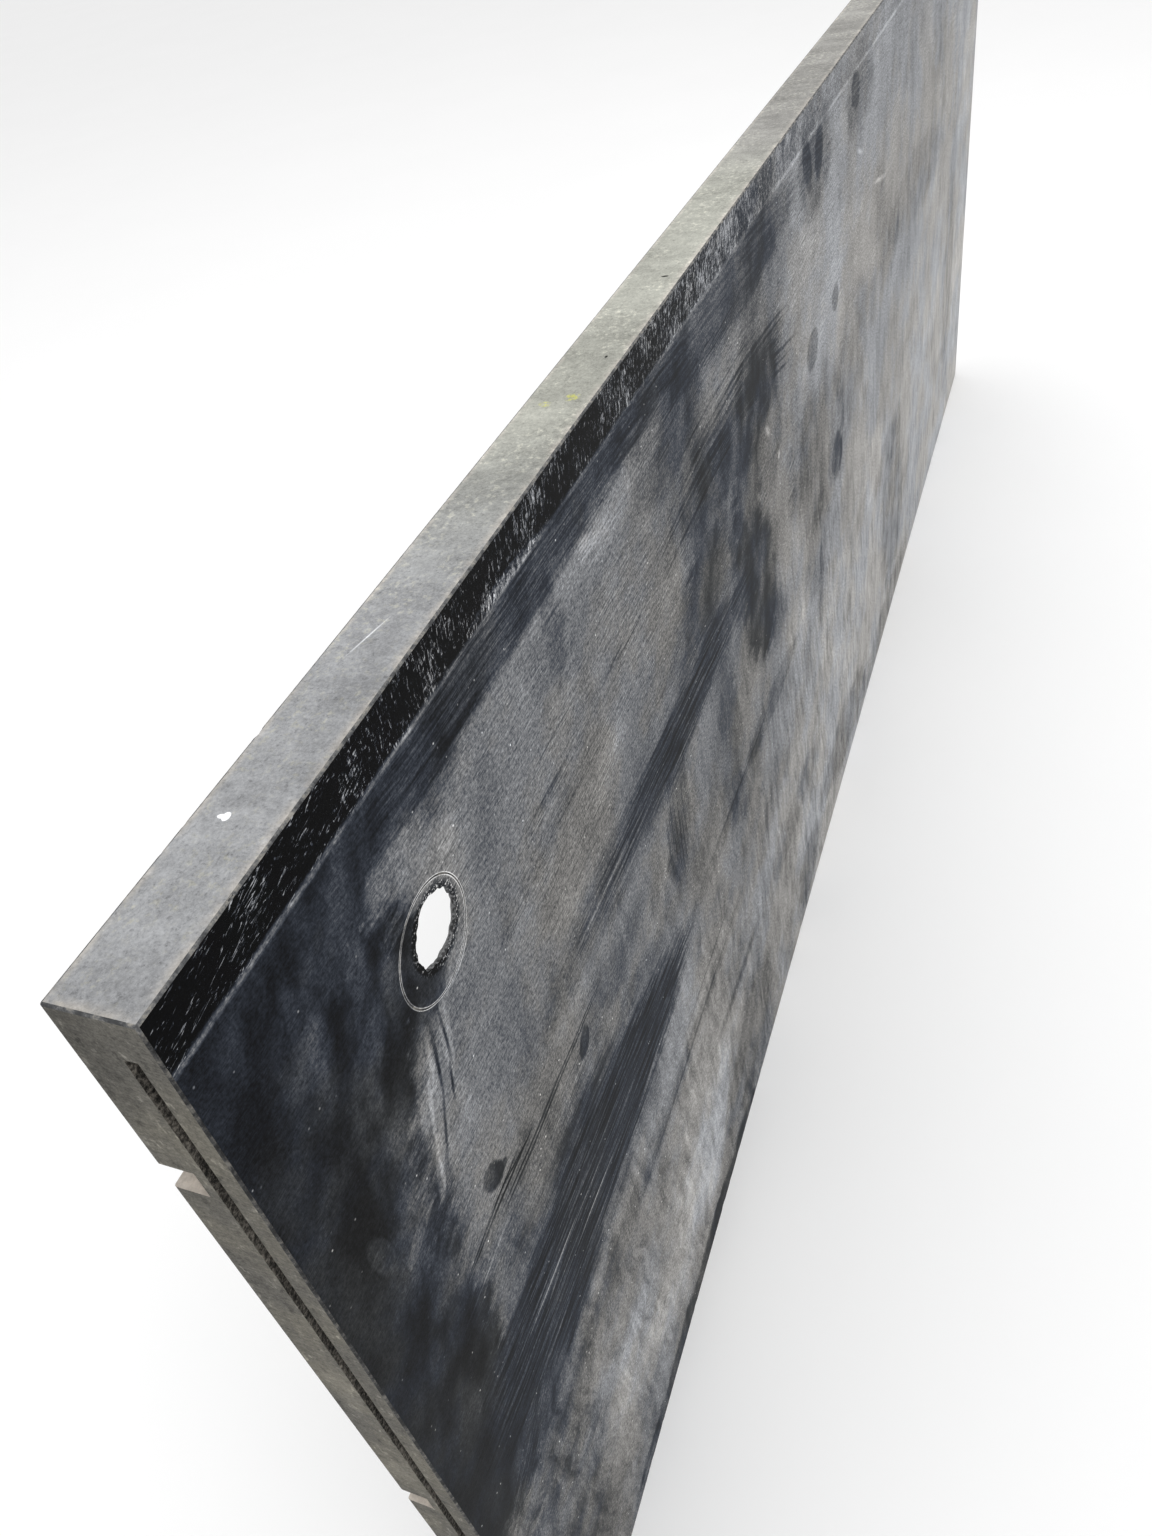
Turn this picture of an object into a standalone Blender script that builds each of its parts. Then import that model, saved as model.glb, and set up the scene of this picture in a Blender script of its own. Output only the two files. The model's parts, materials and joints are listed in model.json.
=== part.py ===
"""Granite slab: a dark 3 cm stone slab with bars set in resin in channels along its back.

Units are metres and +Z is up. The slab stands on its long edge, as it is stored and carried: its
length runs along X, its thickness along Y with the honed face towards -Y, and its height along Z.
The origin is the middle of the edge that it rests on.
"""

import math

import bmesh
import bpy
from mathutils import Matrix, Vector

# The slab
LENGTH = 1.913
THICKNESS = 0.030
HEIGHT = 0.713
ARRIS = 0.0008

# Channels sawn along the back for the reinforcing bars: one at mid height, one near each long edge
CHANNEL_WIDTH = 0.013
CHANNEL_DEPTH = 0.013
CHANNEL_INSET = 0.081

# Groove sawn into the end at -X, nearer to the honed face
GROOVE_WIDTH = 0.0046
GROOVE_DEPTH = 0.010
GROOVE_FROM_FACE = 0.0105
GROOVE_FROM_EDGE = 0.0175

# Knocked-out hole near the top corner, and the oblique crater that it left in the back
HOLE_RADIUS = 0.0146
HOLE_FROM_END = 0.1145
HOLE_FROM_TOP = 0.0962
HOLE_SIDES = 48
LIP = 0.0015
CRATER_FALL = math.radians(54.5)
CRATER_SHIFT = 0.0225
CRATER_GROWTH_ALONG = 0.0435
CRATER_GROWTH_ACROSS = 0.024
CRATER_FLARE = 1.12
CRATER_STEPS = 7

# Reinforcing bars and the resin that holds them
BAR_RADIUS = 0.004
BAR_SIDES = 24
BAR_BELOW_BACK = 0.007
BAR_STANDS_OUT = 0.012
BAR_BEVEL = 0.0005
RESIN_BELOW_BACK = 0.0012
RESIN_ARRIS = 0.001
BAR_FROM_END = 0.045
BAR_PAST_HOLE = 0.235
GAP = 0.0003

# Cutters run past the faces that they cut by this much
OVERSHOOT = 0.005

FRONT_Y = -THICKNESS / 2
BACK_Y = THICKNESS / 2
NEAR_X = -LENGTH / 2
FAR_X = LENGTH / 2
BAR_Y = BACK_Y - BAR_BELOW_BACK

CHANNEL_HEIGHTS = {
    "upper": HEIGHT - CHANNEL_INSET,
    "middle": HEIGHT / 2,
    "lower": CHANNEL_INSET,
}


def clear_scene():
    for item in list(bpy.data.objects):
        bpy.data.objects.remove(item)


def make_material(name, colour, roughness, metallic=0.0):
    material = bpy.data.materials.new(name)
    material.use_nodes = True
    shader = material.node_tree.nodes["Principled BSDF"]
    shader.inputs["Base Color"].default_value = (*colour, 1.0)
    shader.inputs["Roughness"].default_value = roughness
    shader.inputs["Metallic"].default_value = metallic
    return material


def make_object(name, mesh_builder, material=None):
    """A new object whose mesh is what mesh_builder leaves in an empty bmesh."""
    mesh = bpy.data.meshes.new(name)
    builder = bmesh.new()
    mesh_builder(builder)
    bmesh.ops.recalc_face_normals(builder, faces=builder.faces)
    builder.to_mesh(mesh)
    builder.free()
    made = bpy.data.objects.new(name, mesh)
    bpy.context.scene.collection.objects.link(made)
    if material is not None:
        mesh.materials.append(material)
    return made


def add_box(builder, low, high):
    """A box between two opposite corners."""
    size = Vector(high) - Vector(low)
    middle = (Vector(high) + Vector(low)) / 2
    bmesh.ops.create_cube(
        builder, size=1.0, matrix=Matrix.Translation(middle) @ Matrix.Diagonal((*size, 1.0))
    )


def add_loft(builder, loops):
    """A closed solid through loops of points, capped at both ends."""
    rings = [[builder.verts.new(point) for point in loop] for loop in loops]
    count = len(rings[0])
    for lower, upper in zip(rings, rings[1:]):
        for index in range(count):
            after = (index + 1) % count
            builder.faces.new((lower[index], lower[after], upper[after], upper[index]))
    builder.faces.new(reversed(rings[0]))
    builder.faces.new(rings[-1])


def make_cutter(name, mesh_builder):
    cutter = make_object(name, mesh_builder)
    cutter.hide_render = True
    cutter.display_type = "WIRE"
    return cutter


def cut(target, cutter):
    boolean = target.modifiers.new(cutter.name, "BOOLEAN")
    boolean.operation = "DIFFERENCE"
    boolean.solver = "EXACT"
    boolean.object = cutter


def bevel(target, width):
    modifier = target.modifiers.new("arris", "BEVEL")
    modifier.width = width
    modifier.segments = 1
    modifier.limit_method = "ANGLE"


def channel_cutter(height):
    """A square channel along the whole back, centred at a height."""
    half = CHANNEL_WIDTH / 2
    low = (NEAR_X - OVERSHOOT, BACK_Y - CHANNEL_DEPTH, height - half)
    high = (FAR_X + OVERSHOOT, BACK_Y + OVERSHOOT, height + half)
    return lambda builder: add_box(builder, low, high)


def groove_cutter(builder):
    """The groove in the near end, which stops short of the top and bottom edges."""
    middle = FRONT_Y + GROOVE_FROM_FACE
    low = (NEAR_X - OVERSHOOT, middle - GROOVE_WIDTH / 2, GROOVE_FROM_EDGE)
    high = (NEAR_X + GROOVE_DEPTH, middle + GROOVE_WIDTH / 2, HEIGHT - GROOVE_FROM_EDGE)
    add_box(builder, low, high)


def crater_loop(share):
    """The hole's outline at a share of the way from the lip (0) to the back face (1).

    Behind the lip the stone broke away along a slanting cone: the outline grows towards the back,
    and its middle drifts down and away from the near end.
    """
    grown = share**CRATER_FLARE
    along = HOLE_RADIUS + CRATER_GROWTH_ALONG * grown
    across = HOLE_RADIUS + CRATER_GROWTH_ACROSS * grown
    drift = CRATER_SHIFT * grown
    depth = LIP + (THICKNESS - LIP) * share
    fall = Vector((math.cos(CRATER_FALL), 0.0, -math.sin(CRATER_FALL)))
    side = Vector((math.sin(CRATER_FALL), 0.0, math.cos(CRATER_FALL)))
    middle = Vector((NEAR_X + HOLE_FROM_END, FRONT_Y + depth, HEIGHT - HOLE_FROM_TOP)) + fall * drift
    loop = []
    for index in range(HOLE_SIDES):
        angle = 2 * math.pi * index / HOLE_SIDES
        loop.append(middle + fall * along * math.cos(angle) + side * across * math.sin(angle))
    return loop


def hole_cutter(builder):
    """The hole's straight lip at the honed face and the crater behind it, as one solid."""
    lip = crater_loop(0.0)
    outside = [point - Vector((0.0, LIP + OVERSHOOT, 0.0)) for point in lip]
    crater = [crater_loop(step / CRATER_STEPS) for step in range(CRATER_STEPS + 1)]
    beyond = [point + Vector((0.0, OVERSHOOT, 0.0)) for point in crater[-1]]
    add_loft(builder, [outside, *crater, beyond])


def make_slab(material):
    low = (NEAR_X, FRONT_Y, 0.0)
    high = (FAR_X, BACK_Y, HEIGHT)
    slab = make_object("granite_slab", lambda builder: add_box(builder, low, high), material)
    bevel(slab, ARRIS)
    for name, height in CHANNEL_HEIGHTS.items():
        cut(slab, make_cutter(f"cut_channel_{name}", channel_cutter(height)))
    cut(slab, make_cutter("cut_end_groove", groove_cutter))
    cut(slab, make_cutter("cut_hole", hole_cutter))
    return slab


def bar_start(name):
    """Where a channel's bar begins: the upper one starts past the hole's crater."""
    return NEAR_X + (BAR_PAST_HOLE if name == "upper" else BAR_FROM_END)


def bar_loop(x, height, radius):
    """Points round a circle that faces along X, centred on a bar's axis."""
    turns = [2 * math.pi * index / BAR_SIDES for index in range(BAR_SIDES)]
    return [
        (x, BAR_Y + radius * math.cos(turn), height + radius * math.sin(turn)) for turn in turns
    ]


def make_bar(name, height, material):
    """A round bar along a channel, with its ends standing out of the resin."""
    start = bar_start(name)
    end = FAR_X - BAR_FROM_END
    trimmed = BAR_RADIUS - BAR_BEVEL
    sections = (
        (start, trimmed),
        (start + BAR_BEVEL, BAR_RADIUS),
        (end - BAR_BEVEL, BAR_RADIUS),
        (end, trimmed),
    )
    loops = [bar_loop(x, height, radius) for x, radius in sections]
    bar = make_object(f"bar_{name}", lambda builder: add_loft(builder, loops), material)
    bar.data.shade_smooth()
    bar.data.set_sharp_from_angle(angle=math.radians(40))
    return bar


def make_resin(name, height, material):
    """The resin that fills a channel round its bar, a little below the back face."""
    start = bar_start(name) + BAR_STANDS_OUT
    end = FAR_X - BAR_FROM_END - BAR_STANDS_OUT
    half = CHANNEL_WIDTH / 2 - GAP
    low = (start, BACK_Y - CHANNEL_DEPTH + GAP, height - half)
    high = (end, BACK_Y - RESIN_BELOW_BACK, height + half)
    resin = make_object(f"resin_{name}", lambda builder: add_box(builder, low, high), material)
    bevel(resin, RESIN_ARRIS)
    ends = (start - OVERSHOOT, end + OVERSHOOT)
    loops = [bar_loop(x, height, BAR_RADIUS + GAP) for x in ends]
    cut(resin, make_cutter(f"cut_resin_{name}", lambda builder: add_loft(builder, loops)))
    return resin


def main():
    clear_scene()
    stone = make_material("stone", (0.11, 0.115, 0.125), 0.55)
    steel = make_material("steel", (0.32, 0.27, 0.24), 0.55, 0.8)
    resin = make_material("resin", (0.42, 0.40, 0.34), 0.4)
    make_slab(stone)
    for name, height in CHANNEL_HEIGHTS.items():
        make_bar(name, height, steel)
        make_resin(name, height, resin)


main()
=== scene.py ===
"""The looks of the granite slab: its detailed stone body, resin beds, materials, floor and light."""

import json
import math
import random

import bmesh
import bpy
from mathutils import Matrix, Vector, noise


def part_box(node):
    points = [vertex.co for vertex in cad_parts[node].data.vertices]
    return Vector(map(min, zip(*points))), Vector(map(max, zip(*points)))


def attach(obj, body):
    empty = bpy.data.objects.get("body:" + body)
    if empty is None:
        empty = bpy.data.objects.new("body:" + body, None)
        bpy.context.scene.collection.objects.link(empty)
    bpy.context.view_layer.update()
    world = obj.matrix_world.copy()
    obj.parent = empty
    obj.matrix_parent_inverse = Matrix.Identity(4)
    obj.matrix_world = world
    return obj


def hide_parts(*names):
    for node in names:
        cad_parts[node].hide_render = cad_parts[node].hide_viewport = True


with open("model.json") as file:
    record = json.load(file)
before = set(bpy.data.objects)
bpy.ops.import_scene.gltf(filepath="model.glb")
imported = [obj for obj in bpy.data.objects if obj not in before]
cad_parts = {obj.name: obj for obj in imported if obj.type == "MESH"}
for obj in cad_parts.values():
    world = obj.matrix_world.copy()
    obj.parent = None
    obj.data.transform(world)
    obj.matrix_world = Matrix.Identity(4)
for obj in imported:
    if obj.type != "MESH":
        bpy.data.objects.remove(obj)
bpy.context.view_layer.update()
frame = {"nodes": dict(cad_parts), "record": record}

# ---------------- places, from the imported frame
LOW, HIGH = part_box("granite_slab")
_, THICKNESS, HEIGHT = HIGH - LOW
OPENINGS = {entry["name"]: entry["box_m"] for entry in frame["record"]["physics"]["openings"]}
HOLE_LOW, HOLE_HIGH = OPENINGS["hole"]
HOLE_X = (HOLE_LOW[0] + HOLE_HIGH[0]) / 2
HOLE_Z = (HOLE_LOW[2] + HOLE_HIGH[2]) / 2
GROOVE_LOW, GROOVE_HIGH = OPENINGS["end_groove"]
GROOVE_Y = (GROOVE_LOW[1] + GROOVE_HIGH[1]) / 2
CHANNELS = ("upper", "middle", "lower")

# ---------------- sizes of the stone's own detail
ARRIS = 0.0008
CHANNEL_SIZE = 0.013
GROOVE_WIDTH = 0.0046
GROOVE_DEPTH = 0.010
GROOVE_INSET = 0.0175
OVERSHOOT = 0.004
CHANNEL_ROUGHNESS = 0.00035
GROOVE_ROUGHNESS = 0.00022
HOLE_RADIUS = 0.0146
LIP = 0.0015
CRATER_FALL = math.radians(54.5)
CRATER_FLARE = 1.12
CRATER_SHIFT = 0.0225
CRATER_GROWTH_ALONG = 0.0435
CRATER_GROWTH_ACROSS = 0.024
CRATER_LUMPS = 0.0022
CRATER_GRAIN = 0.0007
RING_RADIUS = 0.02417
RING_WIDTH = 0.00042
RING_DEPTH = 0.00055
# places on the honed face: from the near end, and down from the top edge
RING_CENTRE = (0.1109, 0.0997)
RING_SLIP = (0.1124, 0.1013)
STRIP_EDGE = 0.0218
BAR_GAP = 0.0003
NEARLY_ZERO = 1e-6
RESIN_SAG = 0.0005
RESIN_RIPPLE = 0.0003

FRONT, TOP, BOTTOM, END, BACK, BROKEN, GROOVE, CHANNEL, WORN = range(9)

# ---------------- the camera: its place from the slab's top near corner, its directions and lens
CAMERA_OFFSET = Vector((-0.1078, -0.1843, 0.2084))
CAMERA_RIGHT = Vector((0.33831, -0.92847, -0.15327))
CAMERA_UP = Vector((0.66245, 0.11930, 0.73954))
CAMERA_LENS = 27.455


def new_object(name, mesh):
    made = bpy.data.objects.new(name, mesh)
    bpy.context.scene.collection.objects.link(made)
    return made


def mesh_from(builder, name):
    bmesh.ops.recalc_face_normals(builder, faces=builder.faces)
    mesh = bpy.data.meshes.new(name)
    builder.to_mesh(mesh)
    builder.free()
    return mesh


# ---------------- the stone body
def block_material(normal):
    """Which finish a face of the plain block has, from the way it faces."""
    if max(abs(part) for part in normal) < 0.99:
        return WORN
    if normal.y < -0.9:
        return FRONT
    if normal.y > 0.9:
        return BACK
    if abs(normal.x) > 0.9:
        return END
    return TOP if normal.z > 0 else BOTTOM


def stone_block():
    builder = bmesh.new()
    middle = (LOW + HIGH) / 2
    size = HIGH - LOW
    matrix = Matrix.Translation(middle) @ Matrix.Diagonal((*size, 1.0))
    bmesh.ops.create_cube(builder, size=1.0, matrix=matrix)
    bmesh.ops.bevel(
        builder, geom=list(builder.edges), offset=ARRIS, segments=2, profile=0.5, affect="EDGES"
    )
    builder.normal_update()
    for face in builder.faces:
        face.material_index = block_material(face.normal)
    return mesh_from(builder, "stone_block")


def add_box(builder, low, high, finish, cuts=(1, 1, 1)):
    """A box whose faces are divided, so that they can be roughened."""
    size = Vector(high) - Vector(low)
    middle = (Vector(high) + Vector(low)) / 2
    before = set(builder.verts)
    matrix = Matrix.Translation(middle) @ Matrix.Diagonal((*size, 1.0))
    bmesh.ops.create_cube(builder, size=1.0, matrix=matrix)
    made = [vert for vert in builder.verts if vert not in before]
    for axis in range(3):
        for step in range(1, cuts[axis]):
            point = Vector(low)
            point[axis] += size[axis] * step / cuts[axis]
            normal = Vector((0.0, 0.0, 0.0))
            normal[axis] = 1.0
            faces = dict.fromkeys(face for vert in made for face in vert.link_faces)
            edges = dict.fromkeys(edge for face in faces for edge in face.edges)
            geometry = [*made, *edges, *faces]
            bmesh.ops.bisect_plane(builder, geom=geometry, plane_co=point, plane_no=normal)
            made = [vert for vert in builder.verts if vert not in before]
    for vert in made:
        for face in vert.link_faces:
            face.material_index = finish
    return made


def roughen(verts, size, amount, seed):
    """Moves vertices a little, in a way that depends only on where they are."""
    for vert in verts:
        shift = noise.noise_vector(vert.co / size + Vector((seed, seed, seed)))
        vert.co += shift * amount


def channel_cutter():
    builder = bmesh.new()
    for index, name in enumerate(CHANNELS):
        low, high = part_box(f"resin_{name}")
        centre = (low.z + high.z) / 2
        verts = add_box(
            builder,
            (LOW.x - OVERSHOOT, HIGH.y - CHANNEL_SIZE, centre - CHANNEL_SIZE / 2),
            (HIGH.x + OVERSHOOT, HIGH.y + OVERSHOOT, centre + CHANNEL_SIZE / 2),
            CHANNEL,
            (160, 1, 1),
        )
        roughen(verts, 0.03, CHANNEL_ROUGHNESS, 3.0 + index)
    return mesh_from(builder, "channel_cutter")


def groove_cutter():
    builder = bmesh.new()
    verts = add_box(
        builder,
        (LOW.x - OVERSHOOT, GROOVE_Y - GROOVE_WIDTH / 2, LOW.z + GROOVE_INSET),
        (LOW.x + GROOVE_DEPTH, GROOVE_Y + GROOVE_WIDTH / 2, HIGH.z - GROOVE_INSET),
        GROOVE,
        (6, 1, 260),
    )
    roughen(verts, 0.004, GROOVE_ROUGHNESS, 11.0)
    return mesh_from(builder, "groove_cutter")


def add_loft(builder, loops, finish):
    rings = [[builder.verts.new(point) for point in loop] for loop in loops]
    count = len(rings[0])
    for lower, upper in zip(rings, rings[1:]):
        for index in range(count):
            after = (index + 1) % count
            face = builder.faces.new((lower[index], lower[after], upper[after], upper[index]))
            face.material_index = finish
    for cap in (list(reversed(rings[0])), rings[-1]):
        builder.faces.new(cap).material_index = finish
    return rings


def ragged(angle):
    """How far the hole's broken edge is from a true circle, as a share of its radius."""
    coarse = noise.noise(Vector((math.cos(angle), math.sin(angle), 4.2)) * 1.6)
    fine = noise.noise(Vector((math.cos(angle), math.sin(angle), 9.7)) * 6.0)
    return 1.0 + 0.09 * coarse + 0.06 * fine


def hole_cutter():
    """The ragged hole and the crater that broke away behind it."""
    sides, steps = 120, 26
    fall = Vector((math.cos(CRATER_FALL), 0.0, -math.sin(CRATER_FALL)))
    side = Vector((math.sin(CRATER_FALL), 0.0, math.cos(CRATER_FALL)))
    start = Vector((HOLE_X, LOW.y, HOLE_Z))

    def loop(share, beyond=0.0):
        grown = share**CRATER_FLARE
        along = CRATER_GROWTH_ALONG * grown
        across = CRATER_GROWTH_ACROSS * grown
        depth = LIP + (THICKNESS - LIP) * share + beyond
        middle = start + fall * CRATER_SHIFT * grown + Vector((0.0, depth, 0.0))
        points = []
        for index in range(sides):
            angle = 2 * math.pi * index / sides
            edge = HOLE_RADIUS * ragged(angle)
            point = middle + fall * (edge + along) * math.cos(angle)
            point = point + side * (edge + across) * math.sin(angle)
            if share > 0:
                shell = noise.noise(point * 90.0) * CRATER_LUMPS
                shell += noise.noise(point * 320.0) * CRATER_GRAIN
                point = point + (point - middle).normalized() * shell * min(1.0, share * 4)
            points.append(point)
        return points

    builder = bmesh.new()
    loops = [loop(0.0, -LIP - OVERSHOOT), loop(0.0, -LIP * 0.5)]
    loops += [loop(step / steps) for step in range(steps + 1)]
    loops.append(loop(1.0, OVERSHOOT))
    add_loft(builder, loops, BROKEN)
    return mesh_from(builder, "hole_cutter")


def ring_cutter():
    """The shallow ring that a core drill scored round the hole."""
    builder = bmesh.new()
    sides, around = 160, 6
    centre = Vector((LOW.x + RING_CENTRE[0], LOW.y, HIGH.z - RING_CENTRE[1]))
    rows = []
    for index in range(sides):
        turn = 2 * math.pi * index / sides
        out = Vector((math.cos(turn), 0.0, math.sin(turn)))
        width = RING_WIDTH + 0.00012 * noise.noise(out * 3.0)
        row = []
        for step in range(around):
            angle = 2 * math.pi * step / around
            radius = RING_RADIUS + width * math.cos(angle)
            depth = 0.0001 + RING_DEPTH * math.sin(angle)
            row.append(builder.verts.new(centre + out * radius + Vector((0.0, depth, 0.0))))
        rows.append(row)
    for index in range(sides):
        here, there = rows[index], rows[(index + 1) % sides]
        for step in range(around):
            after = (step + 1) % around
            face = builder.faces.new((here[step], here[after], there[after], there[step]))
            face.material_index = WORN
    return mesh_from(builder, "ring_cutter")


def corner(x, y, z):
    """A corner of the slab: each argument is 0 for the low side or 1 for the high side."""
    return Vector(((LOW, HIGH)[x].x, (LOW, HIGH)[y].y, (LOW, HIGH)[z].z))


# Each arris: its two corners, the number of chips, their smallest and largest size
ARRISES = (
    (corner(0, 0, 1), corner(1, 0, 1), 60, 0.0004, 0.0015),
    (corner(0, 1, 1), corner(1, 1, 1), 60, 0.0005, 0.0020),
    (corner(0, 0, 0), corner(1, 0, 0), 120, 0.0010, 0.0042),
    (corner(0, 1, 0), corner(1, 1, 0), 70, 0.0010, 0.0034),
    (corner(0, 0, 0), corner(0, 0, 1), 24, 0.0003, 0.0011),
    (corner(0, 1, 0), corner(0, 1, 1), 26, 0.0004, 0.0017),
    (corner(1, 0, 0), corner(1, 0, 1), 30, 0.0006, 0.0026),
    (corner(1, 1, 0), corner(1, 1, 1), 26, 0.0006, 0.0026),
)


def add_chip(builder, place, along, outward, size, seed):
    """One rough lump, longer along the arris, whose hollow is left when it is cut away."""
    across = along.cross(outward).normalized()
    turn = Matrix((along, outward, across)).transposed()
    lump = bmesh.ops.create_icosphere(builder, subdivisions=2, radius=1.0)
    for vert in lump["verts"]:
        shape = 1.0 + 0.35 * noise.noise(vert.co * 1.3 + Vector((seed, 0.0, seed)))
        local = Vector((vert.co.x * 1.9, vert.co.y * 0.8, vert.co.z * 1.1)) * size * shape
        vert.co = place + outward * size * 0.35 + turn @ local
        for face in vert.link_faces:
            face.material_index = BROKEN


def chip_cutter():
    builder = bmesh.new()
    for number, (start, end, count, smallest, largest) in enumerate(ARRISES):
        draw = random.Random(40 + number)
        along = (end - start).normalized()
        centre = (start + end) / 2
        outward = Vector((centre.x if along.x == 0 else 0.0, centre.y, 0.0))
        if along.z == 0:
            outward.z = centre.z - HEIGHT / 2
        outward = Vector([math.copysign(1.0, part) if abs(part) > NEARLY_ZERO else 0.0 for part in outward])
        outward.normalize()
        length = (end - start).length
        for _ in range(count):
            size = smallest + (largest - smallest) * draw.random() ** 3
            share = draw.random()
            add_chip(builder, start + along * length * share, along, outward, size, draw.random() * 50)
    return mesh_from(builder, "chip_cutter")


def carved(mesh, cutters, materials):
    """The mesh that is left when the cutters are taken away from it, each with its own finish."""
    for part in (mesh, *cutters):
        for material in materials:
            part.materials.append(material)
    body = new_object("stone_work", mesh)
    tools = []
    for cutter in cutters:
        tool = new_object(cutter.name, cutter)
        boolean = body.modifiers.new(cutter.name, "BOOLEAN")
        boolean.operation = "DIFFERENCE"
        boolean.solver = "EXACT"
        boolean.use_self = cutter.name == "chip_cutter"
        boolean.object = tool
        tools.append(tool)
    bpy.context.view_layer.update()
    result = bpy.data.meshes.new_from_object(body.evaluated_get(bpy.context.evaluated_depsgraph_get()))
    for item in (body, *tools):
        bpy.data.objects.remove(item)
    return result


def make_stone(materials):
    cutters = (chip_cutter(), channel_cutter(), groove_cutter(), hole_cutter(), ring_cutter())
    mesh = carved(stone_block(), cutters, materials)
    mesh.name = "stone_body"
    stone = new_object("stone_body", mesh)
    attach(stone, "root")
    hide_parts("granite_slab")
    return stone


# ---------------- a short way to write shader nodes
class Shader:
    """Writes the nodes of one material. Values given to it are numbers or other nodes' outputs."""

    def __init__(self, name):
        self.material = bpy.data.materials.new(name)
        self.material.use_nodes = True
        self.tree = self.material.node_tree
        self.surface = self.tree.nodes["Principled BSDF"]
        self.place = self.node("ShaderNodeTexCoord").outputs["Object"]

    def node(self, kind, **settings):
        made = self.tree.nodes.new(kind)
        for name, value in settings.items():
            setattr(made, name, value)
        return made

    def put(self, socket, value):
        if isinstance(value, bpy.types.NodeSocket):
            self.tree.links.new(value, socket)
        else:
            socket.default_value = value

    def filled(self, kind, inputs, **settings):
        """A new node with some of its inputs set, or linked to others' outputs."""
        made = self.node(kind, **settings)
        for name, value in inputs.items():
            self.put(made.inputs[name], value)
        return made

    def math(self, operation, *values):
        made = self.node("ShaderNodeMath", operation=operation)
        for socket, value in zip(made.inputs, values):
            self.put(socket, value)
        return made.outputs[0]

    def times(self, first, second):
        return self.math("MULTIPLY", first, second)

    def plus(self, base, mask, change):
        """A base, with a change added to it where the mask is 1."""
        return self.math("MULTIPLY_ADD", mask, change, base)

    def centred(self, pattern):
        return self.math("SUBTRACT", pattern, 0.5)

    def varied(self, base, pattern, amount):
        """A base that goes up and down with a noise by an amount."""
        return self.plus(base, self.centred(pattern), amount)

    def between(self, value, low, high):
        return self.math("MINIMUM", self.math("MAXIMUM", value, low), high)

    def vector(self, operation, *values):
        made = self.node("ShaderNodeVectorMath", operation=operation)
        for socket, value in zip(made.inputs, values):
            self.put(socket, value)
        return made.outputs["Vector"]

    def face_place(self, across, down, start, sign=-1):
        """Distances in metres from a face's starting corner: along one axis, and down another."""
        parts = self.filled("ShaderNodeSeparateXYZ", {"Vector": self.place})
        first = self.math("SUBTRACT", parts.outputs[across], start[0])
        second = self.plus(start[1], parts.outputs[down], sign)
        joined = self.filled("ShaderNodeCombineXYZ", {"X": first, "Y": second})
        return joined.outputs[0], first, second

    def noise(self, place, scale, detail=2.0, roughness=0.5, distortion=0.0, stretch=None):
        if stretch is not None:
            place = self.vector("MULTIPLY", place, stretch)
        inputs = {"Vector": place, "Scale": scale, "Detail": detail}
        inputs.update({"Roughness": roughness, "Distortion": distortion})
        return self.filled("ShaderNodeTexNoise", inputs).outputs["Fac"]

    def drawn_out(self, place, size, turn, detail, roughness, distortion=0.0):
        """A noise with clouds of two sizes, turned by some degrees."""
        return self.noise(self.inside(place, (0.0, 0.0), size, turn), 1.0, detail, roughness, distortion)

    def warped(self, place, scale, amount, detail=2.0):
        """Places moved by a noise, so that what is drawn with them wanders."""
        inputs = {"Vector": place, "Scale": scale, "Detail": detail}
        made = self.filled("ShaderNodeTexNoise", inputs)
        moved = self.vector("SUBTRACT", made.outputs["Color"], (0.5, 0.5, 0.5))
        scaled = self.vector("MULTIPLY", moved, (amount, amount, 0.0))
        return self.vector("ADD", place, scaled)

    def step(self, value, start, end, low=0.0, high=1.0):
        """A smooth step from low to high as value goes from start to end."""
        inputs = {"Value": value, "From Min": start, "From Max": end, "To Min": low, "To Max": high}
        made = self.filled("ShaderNodeMapRange", inputs, interpolation_type="SMOOTHSTEP")
        return made.outputs["Result"]

    def inside(self, place, middle, half, turn):
        """Places as seen from an ellipse: 1 from its middle is its rim."""
        inputs = {"Vector": place, "Location": (*middle, 0.0), "Scale": (*half, 1.0)}
        inputs["Rotation"] = (0.0, 0.0, math.radians(turn))
        return self.filled("ShaderNodeMapping", inputs, vector_type="TEXTURE").outputs[0]

    def stroke(self, place, middle, half, turn=0.0):
        """A mark that is 1 at an ellipse's middle and falls evenly to 0 at its rim."""
        local = self.inside(place, middle, half, turn)
        made = self.filled("ShaderNodeTexGradient", {"Vector": local}, gradient_type="SPHERICAL")
        return made.outputs["Fac"]

    def patch(self, place, middle, half, turn=0.0, soft=0.6):
        """1 inside an ellipse, falling to 0 at its rim over a soft share of its radius."""
        return self.step(self.stroke(place, middle, half, turn), 0.0, soft)

    def distance(self, place, middle, reach):
        """The distance from a point, in metres, up to a reach."""
        return self.plus(reach, self.stroke(place, middle, (reach, reach)), -reach)

    def mix(self, amount, first, second):
        made = self.node("ShaderNodeMix", data_type="RGBA", clamp_factor=True)
        self.put(made.inputs["Factor"], amount)
        for name, value in (("A", first), ("B", second)):
            socket = [s for s in made.inputs if s.name == name and s.type == "RGBA"][0]
            if not isinstance(value, bpy.types.NodeSocket):
                value = (*value, 1.0)
            self.put(socket, value)
        return [s for s in made.outputs if s.type == "RGBA"][0]

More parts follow.
